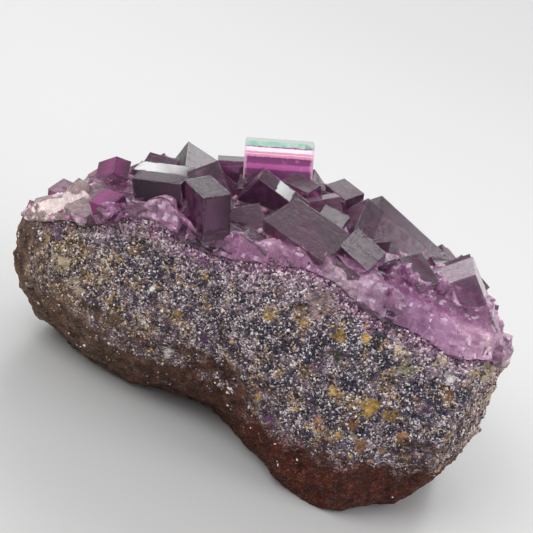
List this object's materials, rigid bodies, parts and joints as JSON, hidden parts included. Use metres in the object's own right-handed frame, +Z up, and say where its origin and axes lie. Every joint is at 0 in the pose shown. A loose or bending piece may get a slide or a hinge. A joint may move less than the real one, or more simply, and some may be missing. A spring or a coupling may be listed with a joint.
{
  "type": "fluorite crystal specimen on matrix",
  "caption": "Loose hand specimen of purple cube-shaped fluorite crystals grown as a crust over a broken piece of granular rock, with a flat broken base to rest on.",
  "frame": {"origin": "middle of the whole specimen's box, on the surface that its flat base rests on", "axes": "+Z up from the base through the crystals, +X along the specimen's length, -Y towards its broken front"},
  "size_m": [0.0922, 0.0542, 0.0532],
  "materials": {
    "matrix": "rough granular rock",
    "fluorite": "clear purple crystal, vitreous"
  },
  "bodies": {
    "root": {"matrix": "matrix", "fluorite_crust": "fluorite"}
  },
  "joints": []
}
